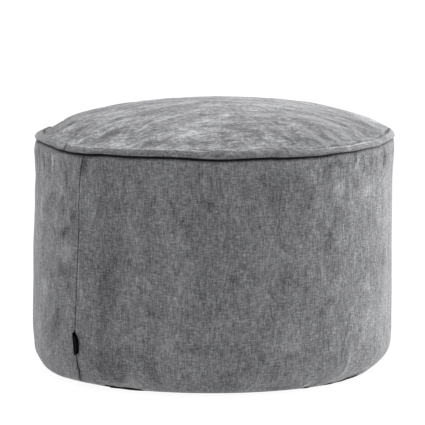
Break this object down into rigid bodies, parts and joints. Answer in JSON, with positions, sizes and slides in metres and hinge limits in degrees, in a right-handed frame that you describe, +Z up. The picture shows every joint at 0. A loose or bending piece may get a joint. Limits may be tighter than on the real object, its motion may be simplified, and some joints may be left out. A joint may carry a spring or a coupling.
{
  "type": "bean bag footstool",
  "caption": "Round filled cloth footstool: straight drum side drawn in under a crowned top with a topstitched rim, on a flat base cloth, with a small plain ribbon tab in its side seam.",
  "frame": {"origin": "centre of the footprint, on the surface that the base cloth rests on", "axes": "+Z up through the middle of the drum; front towards -Y, with the vertical side seam and its tab to the left of the front; +X to the right"},
  "size_m": [0.503, 0.5001, 0.377],
  "materials": {
    "grey_chenille": "brushed chenille weave with a soft sheen",
    "black_base_cloth": "plain woven, matt",
    "black_ribbon": "close woven ribbon, slight satin"
  },
  "bodies": {
    "root": {"top_panel": "grey_chenille", "side_panel": "grey_chenille", "base_panel": "black_base_cloth", "label_tab": "black_ribbon"}
  },
  "joints": []
}
